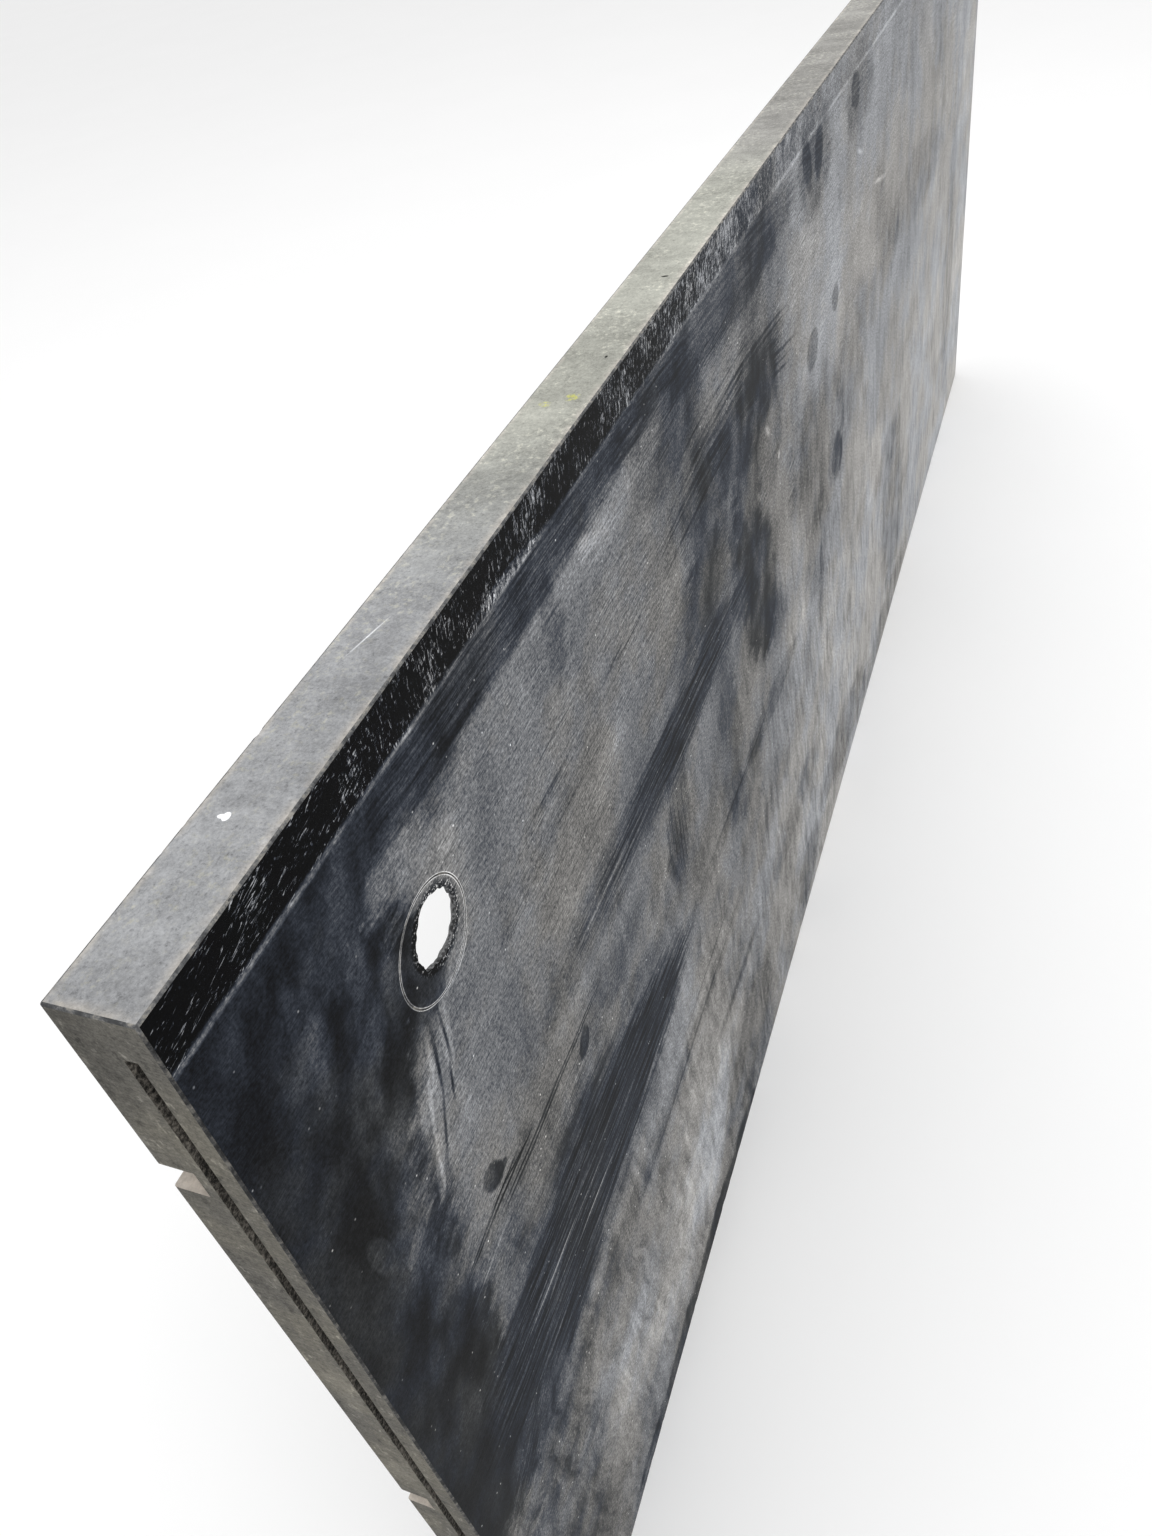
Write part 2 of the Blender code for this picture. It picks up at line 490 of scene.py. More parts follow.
    def grey_to_colour(self, level, tint):
        """A colour from a level of lightness as the eye sees it, and a tint."""
        power = self.math("POWER", self.math("MAXIMUM", level, 0.0), 2.2)
        made = self.node("ShaderNodeVectorMath", operation="SCALE")
        self.put(made.inputs[0], tint)
        self.put(made.inputs["Scale"], power)
        return made.outputs["Vector"]

    def bump(self, height, distance, strength):
        inputs = {"Height": height, "Distance": distance, "Strength": strength}
        return self.filled("ShaderNodeBump", inputs).outputs["Normal"]

    def finish(self, colour, roughness, normal=None, metallic=0.0, specular=0.2):
        self.put(self.surface.inputs["Base Color"], colour)
        self.put(self.surface.inputs["Roughness"], roughness)
        self.surface.inputs["Metallic"].default_value = metallic
        self.surface.inputs["Specular IOR Level"].default_value = specular
        if normal is not None:
            self.put(self.surface.inputs["Normal"], normal)
        return self.material


# ---------------- the honed face
# The face is black stone under a film of dust. Places on it are metres from the near end and metres
# down from the top edge. A change of -1 takes all the dust off, and one above 0 adds to it.
# Soft areas: place, half sizes, turn in degrees, change
FACE_AREAS = (
    # bare stone at the near end
    (0.0, 0.18, 0.064, 0.2, 0, -0.95),
    (0.03, 0.085, 0.07, 0.066, 0, -0.6),
    (0.062, 0.095, 0.04, 0.045, 0, -0.35),
    (0.006, 0.29, 0.05, 0.075, 0, -0.7),
    (0.028, 0.365, 0.062, 0.042, 0, -0.85),
    (0.045, 0.405, 0.06, 0.035, 0, -0.55),
    # dark blue streaks under the top strip
    (0.07, 0.036, 0.1, 0.024, 0, -0.35),
    (0.41, 0.052, 0.05, 0.034, 0, -0.34),
    (0.247, 0.068, 0.01, 0.026, 0, -0.24),
    # clouds round the drag marks
    (0.45, 0.12, 0.03, 0.11, 0, -0.24),
    (0.552, 0.124, 0.08, 0.03, 0, -0.3),
    (0.462, 0.182, 0.08, 0.036, 0, -0.32),
    (0.545, 0.196, 0.038, 0.062, 14, -0.44),
    (0.572, 0.262, 0.042, 0.062, -14, -0.6),
    (0.596, 0.302, 0.044, 0.028, 30, -0.34),
    (0.472, 0.315, 0.026, 0.08, 4, -0.3),
    (0.357, 0.278, 0.02, 0.062, 6, -0.28),
    (0.334, 0.315, 0.016, 0.03, 20, -0.18),
    (0.5, 0.385, 0.04, 0.022, 0, -0.14),
    # lower down
    (0.47, 0.645, 0.06, 0.07, -35, -0.26),
    (0.39, 0.69, 0.06, 0.04, 0, -0.12),
    (0.56, 0.45, 0.06, 0.03, 10, -0.14),
    (0.28, 0.706, 0.16, 0.016, 0, -0.6),
    (0.1, 0.66, 0.08, 0.07, 0, -0.16),
    (0.05, 0.56, 0.06, 0.12, 0, -0.2),
    (0.12, 0.45, 0.11, 0.04, 4, -0.12),
    (0.03, 0.545, 0.07, 0.08, 0, -0.22),
    (0.61, 0.075, 0.05, 0.06, 0, -0.34),
    (0.615, 0.165, 0.04, 0.04, 0, -0.24),
    (0.69, 0.668, 0.045, 0.034, 0, -0.36),
    (0.93, 0.245, 0.07, 0.06, 0, -0.24),
    # splashes further along
    (0.78, 0.04, 0.052, 0.036, 0, -0.4),
    (0.965, 0.04, 0.055, 0.032, 0, -0.38),
    (1.06, 0.165, 0.042, 0.036, 0, -0.2),
    (0.69, 0.225, 0.04, 0.05, 0, -0.1),
    (0.785, 0.262, 0.11, 0.062, 20, -0.28),
    (0.768, 0.345, 0.045, 0.04, 0, -0.26),
    (0.672, 0.548, 0.085, 0.02, 0, -0.2),
    (0.89, 0.652, 0.12, 0.036, 8, -0.34),
    (1.205, 0.565, 0.08, 0.1, -20, -0.36),
    (1.17, 0.458, 0.09, 0.026, 0, -0.24),
    (1.24, 0.06, 0.14, 0.04, 0, -0.1),
    (1.13, 0.215, 0.06, 0.04, 0, -0.18),
    (1.32, 0.222, 0.2, 0.034, 4, -0.24),
    (1.48, 0.1, 0.06, 0.07, 0, -0.2),
    (1.17, 0.69, 0.19, 0.022, 0, -0.3),
    (1.7, 0.45, 0.05, 0.17, 0, -0.2),
    # pale, dusty areas
    (0.15, 0.588, 0.06, 0.05, 0, 0.2),
    (0.285, 0.625, 0.085, 0.055, 0, 0.22),
    (0.33, 0.57, 0.07, 0.07, 0, 0.2),
    (0.32, 0.42, 0.06, 0.06, 0, 0.15),
    (0.86, 0.165, 0.18, 0.06, 5, 0.1),
    (0.69, 0.33, 0.07, 0.06, 0, 0.12),
    (1.06, 0.423, 0.06, 0.036, 0, 0.18),
    (0.98, 0.32, 0.07, 0.04, 0, 0.12),
    (1.45, 0.37, 0.2, 0.11, 0, 0.14),
    (1.83, 0.25, 0.11, 0.24, 0, 0.12),
    (0.103, 0.049, 0.012, 0.014, 0, 0.4),
    (0.052, 0.056, 0.012, 0.02, 0, 0.24),
    (0.036, 0.054, 0.006, 0.018, 8, 0.18),
    (0.018, 0.168, 0.014, 0.022, 10, 0.16),
    (0.32, 0.05, 0.08, 0.014, 0, 0.06),
)

# Areas wiped along the slab, whose rims are drawn out into streaks
FACE_WIPED = (
    (0.174, 0.362, 0.148, 0.035, 4, -1.2),
    (0.08, 0.388, 0.09, 0.031, 2, -0.6),
    (0.11, 0.318, 0.12, 0.024, 3, -0.3),
    (0.15, 0.272, 0.11, 0.024, 2, -0.18),
    (0.12, 0.405, 0.13, 0.018, 2, -0.25),
    (0.14, 0.46, 0.08, 0.016, 2, -0.06),
    (0.215, 0.322, 0.09, 0.02, 4, -0.26),
    (0.18, 0.03, 0.215, 0.016, 0, -0.72),
    (0.56, 0.038, 0.14, 0.02, 0, -0.4),
    (0.4, 0.226, 0.125, 0.018, 1, -0.34),
    (0.3, 0.226, 0.13, 0.022, 3, -0.2),
    (0.53, 0.118, 0.13, 0.03, 2, -0.24),
    (0.585, 0.372, 0.08, 0.012, 3, -0.28),
    (0.42, 0.372, 0.08, 0.008, 1, -0.16),
    (0.2, 0.455, 0.12, 0.012, 1, -0.16),
    (0.33, 0.463, 0.12, 0.01, -1, -0.18),
    (0.32, 0.052, 0.08, 0.012, 1, 0.12),
    (0.235, 0.16, 0.1, 0.012, 0, 0.1),
)

# Small marks with a firm edge: drops of water and the shaded side of the scored ring
FACE_SPOTS = (
    (0.096, 0.235, 0.0065, 0.01, -35, -0.85),
    (0.0985, 0.2375, 0.01, 0.004, 20, -0.6),
    (0.191, 0.275, 0.0065, 0.0095, 28, -0.8),
    (0.101, 0.1015, 0.0165, 0.0215, 8, -0.95),
    (0.759, 0.168, 0.02, 0.015, 0, -0.42),
    (0.85, 0.164, 0.014, 0.011, 0, -0.42),
    (0.854, 0.305, 0.024, 0.02, 30, -0.5),
    (0.755, 0.036, 0.012, 0.022, -30, -0.4),
    (0.795, 0.038, 0.014, 0.018, 20, -0.4),
    (0.94, 0.036, 0.018, 0.015, 20, -0.4),
    (0.06, 0.064, 0.0034, 0.012, 6, -0.3),
    (0.079, 0.148, 0.008, 0.028, 16, 0.2),
    (0.07, 0.184, 0.0036, 0.016, 22, 0.34),
    (0.048, 0.192, 0.014, 0.0045, -24, 0.34),
    (0.099, 0.14, 0.004, 0.02, 10, 0.3),
    (0.028, 0.172, 0.005, 0.014, -12, 0.22),
    (0.137, 0.072, 0.009, 0.006, -10, 0.22),
    (0.776, 0.395, 0.01, 0.045, 3, -0.24),
)

# Scratches: place, half length, half width, turn, change
FACE_STROKES = (
    # two long pairs below the hole
    (0.082, 0.2505, 0.04, 0.0008, -5.0, -1.9),
    (0.092, 0.2535, 0.044, 0.0008, -1.0, -1.8),
    (0.152, 0.2604, 0.066, 0.0008, 1.0, -2.1),
    (0.154, 0.2636, 0.068, 0.0008, 0.3, -1.9),
    (0.114, 0.2515, 0.016, 0.0007, 9.0, -1.4),
    (0.075, 0.2705, 0.038, 0.0008, -3.0, 0.4),
    (0.17, 0.2825, 0.052, 0.0008, 0.5, 0.3),
    # fine ones right of the hole
    (0.216, 0.1222, 0.032, 0.0009, 1.0, -0.7),
    (0.212, 0.1242, 0.02, 0.0007, -1.0, -0.5),
    (0.3, 0.121, 0.026, 0.0009, -2.0, -0.6),
    (0.322, 0.124, 0.03, 0.0008, -1.0, -0.5),
    (0.225, 0.1036, 0.045, 0.0006, -1.0, -0.4),
    # short pale ones in a row below the strip
    (0.289, 0.0446, 0.008, 0.0006, 1.0, 0.6),
    (0.29, 0.0466, 0.01, 0.0006, 2.0, 0.65),
    (0.293, 0.0486, 0.012, 0.0006, 2.0, 0.6),
    (0.296, 0.0505, 0.015, 0.0007, 1.0, 0.6),
    (0.3, 0.0525, 0.019, 0.0007, 2.0, 0.6),
    (0.305, 0.0548, 0.024, 0.0007, 3.0, 0.65),
    (0.32, 0.058, 0.026, 0.0006, 3.0, 0.4),
    (0.36, 0.056, 0.03, 0.0006, 2.0, 0.35),
    # pale ones across the bare swath
    (0.112, 0.356, 0.048, 0.0009, 3.5, 1.3),
    (0.165, 0.362, 0.05, 0.0008, 5.0, 0.65),
    (0.098, 0.3485, 0.028, 0.0008, 1.0, 0.55),
    (0.108, 0.3625, 0.014, 0.0013, -9.0, 0.55),
    (0.165, 0.3785, 0.044, 0.0008, 3.0, 1.15),
    (0.232, 0.37, 0.036, 0.0008, 6.0, 0.4),
    (0.102, 0.3945, 0.028, 0.0012, 1.0, 0.6),
    (0.18, 0.397, 0.06, 0.001, 0.5, 0.5),
    (0.262, 0.395, 0.048, 0.0022, -5.0, 0.6),
    (0.19, 0.343, 0.11, 0.004, 4.5, -0.3),
    (0.215, 0.3895, 0.06, 0.003, 1.0, -0.3),
    # runs of water below the hole
    (0.09, 0.14, 0.024, 0.0011, 99.0, -1.0),
    (0.081, 0.173, 0.02, 0.001, 112.0, -0.9),
    (0.0985, 0.138, 0.02, 0.001, 94.0, -0.9),
    (0.094, 0.16, 0.014, 0.0009, 104.0, -0.7),
    (0.086, 0.138, 0.018, 0.0016, 100.0, 0.5),
    (0.078, 0.156, 0.02, 0.0013, 106.0, 0.5),
    (0.07, 0.186, 0.016, 0.0012, 104.0, 0.45),
    # further along and lower down
    (1.066, 0.14, 0.045, 0.0022, 12.0, 0.6),
    (0.96, 0.086, 0.016, 0.0018, 20.0, 0.6),
    (0.44, 0.535, 0.075, 0.006, 3.0, -0.4),
    (0.345, 0.464, 0.13, 0.0022, -1.0, -0.35),
    (0.38, 0.44, 0.08, 0.0016, -1.0, -0.3),
    (0.5, 0.368, 0.12, 0.0012, 1.0, -0.4),
    (0.612, 0.16, 0.01, 0.003, 40.0, 0.7),
    (0.64, 0.193, 0.004, 0.003, 0.0, 0.8),
    (0.49, 0.28, 0.006, 0.0026, 40.0, 0.45),
    # drag marks along the middle
    (0.33, 0.2195, 0.15, 0.0008, 1.0, -0.75),
    (0.4, 0.224, 0.11, 0.0012, 1.0, -0.8),
    (0.3, 0.2268, 0.12, 0.0008, 1.0, -0.6),
    (0.42, 0.231, 0.08, 0.0012, 0.0, -0.75),
    (0.36, 0.2135, 0.11, 0.0011, 2.0, -0.5),
    (0.33, 0.2065, 0.07, 0.0012, 1.0, -0.4),
    (0.25, 0.2213, 0.05, 0.0009, 1.0, 0.45),
    (0.3, 0.229, 0.06, 0.0008, 1.0, 0.45),
    (0.28, 0.237, 0.06, 0.001, 2.0, 0.3),
    (0.4, 0.243, 0.08, 0.0009, 2.0, 0.3),
)

# The same, for long marks that are arched like the sweep of an arm
FACE_ARCS = (
    (0.505, 0.08, 0.12, 0.0009, 0.0, -0.5),
    (0.57, 0.088, 0.13, 0.0012, -1.0, -0.85),
    (0.54, 0.093, 0.16, 0.0011, -1.0, -0.95),
    (0.54, 0.1, 0.135, 0.0009, 0.5, -0.5),
    (0.54, 0.1075, 0.18, 0.0015, 1.5, -1.15),
    (0.52, 0.111, 0.155, 0.0012, 1.5, -1.0),
    (0.58, 0.115, 0.12, 0.0011, 2.0, -0.85),
    (0.46, 0.122, 0.09, 0.001, 0.5, -0.7),
    (0.61, 0.121, 0.08, 0.0014, 3.0, -0.8),
    (0.47, 0.097, 0.08, 0.0008, 0.0, 0.35),
    (0.5, 0.085, 0.09, 0.0007, 0.0, 0.3),
)

# Bundles of fine scratches: middle, half sizes, turn, how wide a line is, change
FACE_SWEEP = ((0.52, 0.106, 0.18, 0.026, 1, 0.0014, -0.4),)
FACE_BUNDLES = (
    (0.33, 0.226, 0.18, 0.026, 2, 0.001, -0.6),
    (0.42, 0.228, 0.11, 0.022, 1, 0.0012, -0.45),
    (0.19, 0.366, 0.16, 0.04, 4, 0.0013, 0.26),
    (0.33, 0.12, 0.2, 0.075, 3, 0.0008, 0.2),
    (0.29, 0.15, 0.22, 0.085, 2, 0.0007, -0.22),
    (0.06, 0.412, 0.07, 0.024, -30, 0.0012, 0.35),
    (0.48, 0.056, 0.17, 0.014, -2, 0.0011, -0.45),
    (0.15, 0.29, 0.12, 0.04, 3, 0.0013, -0.3),
    (0.357, 0.275, 0.08, 0.028, 92, 0.003, -0.35),
    (0.23, 0.032, 0.15, 0.014, 0, 0.0009, 0.35),
)


def bare_top_strip(s, place, along, down, level):
    """The strip along the top edge that stayed bare, its pale flecks and the line below it, with painted
    sheen that makes the strip lighter further along.
    """
    brushed = s.drawn_out(place, (0.0012, 0.0060), 9.0, 4.0, 0.66, 1.1)
    curled = s.drawn_out(place, (0.0070, 0.0014), -12.0, 4.0, 0.64, 1.6)
    blotches = s.noise(place, 34.0, 5.0, 0.65)
    flecks = s.mix(s.step(along, 0.060, 0.130, 0.05, 0.70), curled, brushed)
    many = s.varied(flecks, blotches, 0.36)
    low = s.math("ADD", s.step(along, 0.02, 0.13, 0.560, 0.532), s.step(along, 0.26, 0.50, 0.0, -0.06))
    light = s.step(s.math("SUBTRACT", many, low), 0.0, 0.11)
    # painted sheen: the strip's black, and a little its pale flecks, are made lighter further along, where
    # the face is seen at a grazing angle
    black = s.step(along, 0.30, 0.90, 0.022, 0.32)
    pale = s.step(along, 0.00, 0.70, 0.58, 0.66)
    strip_level = s.plus(black, s.math("SUBTRACT", pale, black), light)
    strip = s.step(down, STRIP_EDGE + 0.0004, STRIP_EDGE - 0.0012)
    share = s.times(strip, s.step(along, 0.45, 0.90, 1.0, 0.30))
    level = s.plus(level, s.math("SUBTRACT", strip_level, level), share)
    line = s.step(s.math("ABSOLUTE", s.math("SUBTRACT", down, STRIP_EDGE)), 0.0024, 0.0003)
    broken = s.step(s.noise(place, 24.0, 6.0, 0.7), 0.36, 0.62, 0.10, 0.34)
    line = s.times(line, s.step(along, 0.18, 0.12, 0.45, 1.0))
    level = s.plus(level, line, broken)
    smear = s.patch(place, (0.222, 0.0192), (0.044, 0.0040), 2.0, 0.7)
    smeared = s.step(s.noise(place, 300.0, 4.0, 0.7), 0.38, 0.58, 0.10, 0.46)
    return s.plus(level, smear, smeared)


def ring_line(s, place, centre, outer, inner):
    """1 on the drill's circle round a centre, and 0 further off it than the outer distance."""
    off_ring = s.math("SUBTRACT", s.distance(place, centre, 0.05), RING_RADIUS)
    return s.step(s.math("ABSOLUTE", off_ring), outer, inner)


def ring_and_rim(s, place, level):
    """The scored ring, the line where the drill slipped, and the crumbled rim of the hole."""
    ring = ring_line(s, place, RING_CENTRE, 0.0009, 0.0002)
    worn = s.step(s.noise(place, 60.0, 3.0), 0.30, 0.60, 0.42, 0.80)
    level = s.plus(level, ring, worn)
    slip = ring_line(s, place, RING_SLIP, 0.0007, 0.0001)
    slip = s.times(slip, s.patch(place, (0.122, 0.122), (0.020, 0.014), 0.0, 0.8))
    level = s.plus(level, slip, 0.26)
    from_hole = s.distance(place, (HOLE_X - LOW.x, HIGH.z - HOLE_Z), 0.05)
    crumbs = s.step(s.noise(place, 750.0, 2.0, 0.6), 0.50, 0.66, -0.30, 0.34)
    rim = s.step(from_hole, HOLE_RADIUS + 0.0045, HOLE_RADIUS + 0.0008)
    return s.plus(level, rim, crumbs)


def dust_patches(s, dust, place, ragged, patches, share, start, end):
    """Dust changed inside ellipses, whose rims are broken up by a share of a ragged noise."""
    breaks = s.plus(1.0, ragged, share)
    for u, v, half_u, half_v, turn, change in patches:
        inner = s.stroke(place, (u, v), (half_u * 1.4, half_v * 1.4), turn)
        mask = s.step(s.times(inner, breaks), start, end)
        dust = s.plus(dust, mask, change)
    return dust


def arched(s, along, down):
    """Places measured from a wide, shallow arch, so that what is straight on them is bent."""
    off = s.math("SUBTRACT", along, 0.50)
    bent = s.filled("ShaderNodeCombineXYZ", {"X": along})
    s.put(bent.inputs["Y"], s.plus(down, s.times(off, off), -0.5))
    return s.warped(bent.outputs[0], 16.0, 0.004, 3.0)


def scratched(s, dust, place, bundles, strokes):
    for u, v, half_u, half_v, turn, width, change in bundles:
        lines = s.noise(s.inside(place, (u, v), (half_u * 0.7, width), turn), 1.0, 2.0, 0.6)
        mask = s.patch(place, (u, v), (half_u, half_v), turn, 0.7)
        chosen = s.step(lines, 0.50, 0.60, 0.0, change)
        dust = s.plus(dust, mask, chosen)
    for u, v, half_length, half_width, turn, change in strokes:
        mask = s.stroke(place, (u, v), (half_length, half_width * 1.5), turn)
        dust = s.plus(dust, mask, change * 1.3)
    return dust


def honed_dust(s, place, along, down):
    """How much dust there is, from 0 for bare stone."""
    wandering = s.warped(place, 26.0, 0.026, 6.0)
    slightly = s.warped(place, 14.0, 0.005, 2.0)
    ragged = s.plus(-1.2, s.drawn_out(place, (0.026, 0.012), -4.0, 10.0, 0.74, 0.3), 2.4)
    clouds = s.centred(s.noise(place, 17.0, 6.0, 0.54))
    dust = dust_patches(s, 0.86, wandering, ragged, FACE_AREAS, 1.3, 0.08, 0.46)
    cloudy = s.plus(s.plus(1.0, clouds, 1.0), ragged, 0.06)
    dust = s.times(s.math("MAXIMUM", dust, 0.02), cloudy)
    wiped = s.centred(s.drawn_out(slightly, (0.050, 0.0042), 2.0, 8.0, 0.72))
    dust = dust_patches(s, dust, slightly, wiped, FACE_WIPED, 3.4, 0.06, 0.40)
    dust = dust_patches(s, dust, slightly, ragged, FACE_SPOTS, 0.5, 0.16, 0.42)

    # it ran down in streaks, and was wiped along near the top
    ran = s.centred(s.drawn_out(wandering, (0.0085, 0.060), -8.0, 7.0, 0.66))
    low_down = s.step(down, 0.10, 0.45, 0.30, 0.95)
    cover = s.step(dust, 0.0, 0.50, 0.12, 1.0)
    streaks = s.times(s.times(ran, low_down), 1.4)
    high_up = s.step(down, 0.30, 0.05, 0.20, 0.70)
    streaks = s.plus(streaks, s.times(wiped, high_up), 0.7)
    brushed = s.centred(s.drawn_out(slightly, (0.034, 0.0011), -1.0, 4.0, 0.62))
    strong = s.times(s.step(down, 0.42, 0.10, 0.25, 1.0), s.step(clouds, -0.10, 0.12, 0.35, 1.0))
    streaks = s.plus(streaks, s.times(brushed, strong), 1.7)
    dust = s.math("MAXIMUM", s.plus(dust, streaks, cover), 0.02)
    dust = scratched(s, dust, slightly, FACE_BUNDLES, FACE_STROKES)
    dust = scratched(s, dust, arched(s, along, down), FACE_SWEEP, FACE_ARCS)
    return s.between(dust, 0.0, 1.45)


def honed_grain(s, place, level):
    """The stone's crystals, fine hatching and hairlines in the dust, and grit stuck on it."""
    grain = s.noise(place, 560.0, 4.0, 0.82)
    hatch = s.drawn_out(place, (0.0011, 0.0034), -14.0, 3.0, 0.7)
    hairs = s.drawn_out(place, (0.0048, 0.0006), 3.0, 3.0, 0.7)
    hatched = s.math("SUBTRACT", s.plus(s.times(hatch, 0.6), hairs, 1.3), 0.95)
    fine = s.varied(hatched, grain, 1.9)
    share = s.step(level, 0.08, 0.44, 0.12, 0.40)
    level = s.plus(level, fine, share)
    specks = s.filled("ShaderNodeTexVoronoi", {"Vector": place, "Scale": 190.0})
    chosen = s.step(specks.outputs["Color"], 0.50, 0.85, 0.0, 0.60)
    speck = s.step(specks.outputs["Distance"], 0.13, 0.04)
    gritty = s.step(s.noise(place, 18.0, 3.0), 0.38, 0.54, 0.20, 1.0)
    level = s.plus(level, s.times(speck, gritty), chosen)
    return s.between(level, 0.03, 0.95), grain


def wiped_zones(s, place, along, down):
    """1 where the bare stone was wiped along the slab: the swath, the drag marks, under the strip."""
    swath = s.patch(place, (0.190, 0.366), (0.210, 0.080), 3.0, 0.5)
    drags = s.patch(place, (0.380, 0.224), (0.220, 0.045), 1.0, 0.6)
    under_strip = s.times(s.step(down, 0.066, 0.036, 0.0, 0.45), s.step(along, 0.07, 0.13))
    return s.math("MAXIMUM", s.math("MAXIMUM", swath, drags), under_strip)


def honed_face():
    s = Shader("honed_face")
    place, along, down = s.face_place(0, 2, (LOW.x, HIGH.z))
    dust = honed_dust(s, place, along, down)

    # how light that makes it: the bare stone has a thin mottled film; further along, painted sheen from the
    # grazing view makes the bare stone lighter, and the dust is paler, partly from that painted sheen and
    # partly from the dust itself
    film = s.drawn_out(s.warped(place, 20.0, 0.014), (0.024, 0.040), 12.0, 5.0, 0.52)
    combed = s.drawn_out(s.warped(place, 14.0, 0.004), (0.050, 0.0024), 3.0, 5.0, 0.64)
    streaks = s.plus(-0.38, combed, 1.7)
    wiped = wiped_zones(s, place, along, down)
    film = s.mix(wiped, film, streaks)
    thin = s.step(along, 0.002, 0.055, 0.10, 0.22)
    bare_and_sheen_level = s.plus(0.078, s.step(film, 0.32, 0.70), thin)
    # painted sheen: the bare stone is made lighter further along, where the face is seen at a grazing angle
    bare_and_sheen_level = s.math("ADD", bare_and_sheen_level, s.step(along, 0.35, 1.30, 0.0, 0.20))
    # the dust is paler further along, partly by painted sheen from the grazing view
    dust_and_sheen_level = s.step(along, 0.45, 0.85, 0.475, 0.600)
    dust_and_sheen_level = s.math("ADD", dust_and_sheen_level, s.step(along, 1.20, 1.90, 0.0, 0.05))
    dust_and_sheen_level = s.math("ADD", dust_and_sheen_level, s.step(down, 0.34, 0.52, 0.0, 0.065))
    span = s.math("SUBTRACT", dust_and_sheen_level, bare_and_sheen_level)
    level = s.plus(bare_and_sheen_level, dust, span)
    level = bare_top_strip(s, place, along, down, level)
    level = ring_and_rim(s, place, level)
    level, grain = honed_grain(s, place, level)

    hue = s.noise(place, 9.0, 5.0, 0.65)
    cool = s.math("MAXIMUM", s.step(down, 0.16, 0.03, 0.0, 0.6), s.times(wiped, 0.7))
    blueness = s.math("ADD", s.step(hue, 0.58, 0.40), cool)
    dusty_tint = s.mix(blueness, (1.02, 0.995, 0.96), (0.96, 0.985, 1.03))
    bare_tint = s.mix(blueness, (0.92, 0.99, 1.06), (0.74, 0.91, 1.28))
    colour = s.grey_to_colour(level, s.mix(s.step(level, 0.10, 0.46), bare_tint, dusty_tint))
    roughness = s.step(level, 0.10, 0.40, 0.50, 0.85)
    return s.finish(colour, roughness, s.bump(grain, 0.00012, 0.4), specular=0.03)


# ---------------- the sawn edges
def sawn(name, plane, base, tint, marks=None):
    """A sawn face: plane is what face_place needs, base is how light the stone is."""
    s = Shader(name)
    place, along, down = s.face_place(*plane)
    clouds = s.noise(s.place, 18.0, 6.0, 0.62, 0.5)
    level = s.varied(base, clouds, 0.30)
    crystals = s.noise(s.place, 260.0, 6.0, 0.76)
    level = s.varied(level, crystals, 0.24)
    grain = s.noise(s.place, 900.0, 3.0, 0.80)
    level = s.varied(level, grain, 0.28)
    level = s.plus(level, s.step(grain, 0.36, 0.28), -0.06)
    if marks is not None:
        level, tint = marks(s, place, along, down, level, tint)
    level = s.between(level, 0.06, 0.98)
    if not isinstance(tint, bpy.types.NodeSocket):
        yellower = tuple(part * share for part, share in zip(tint, (1.0, 0.985, 0.93)))
        tint = s.mix(s.step(clouds, 0.42, 0.60), tint, yellower)
    colour = s.grey_to_colour(level, tint)
    height = s.math("ADD", s.times(grain, 0.6), crystals)
    return s.finish(colour, 0.78, s.bump(height, 0.0005, 0.6), specular=0.12)


def crayon_on_top(s, place, wandering):
    """Two short strokes of yellow-green crayon, broken by the stone's grain."""
    strokes = s.math(
        "MAXIMUM",
        s.patch(wandering, (0.326, 0.0105), (0.0042, 0.0042), 30.0, 0.5),
        s.patch(wandering, (0.3195, 0.0205), (0.0030, 0.0042), -20.0, 0.6),
    )
    return s.times(strokes, s.step(s.noise(place, 420.0, 3.0, 0.7), 0.40, 0.58))


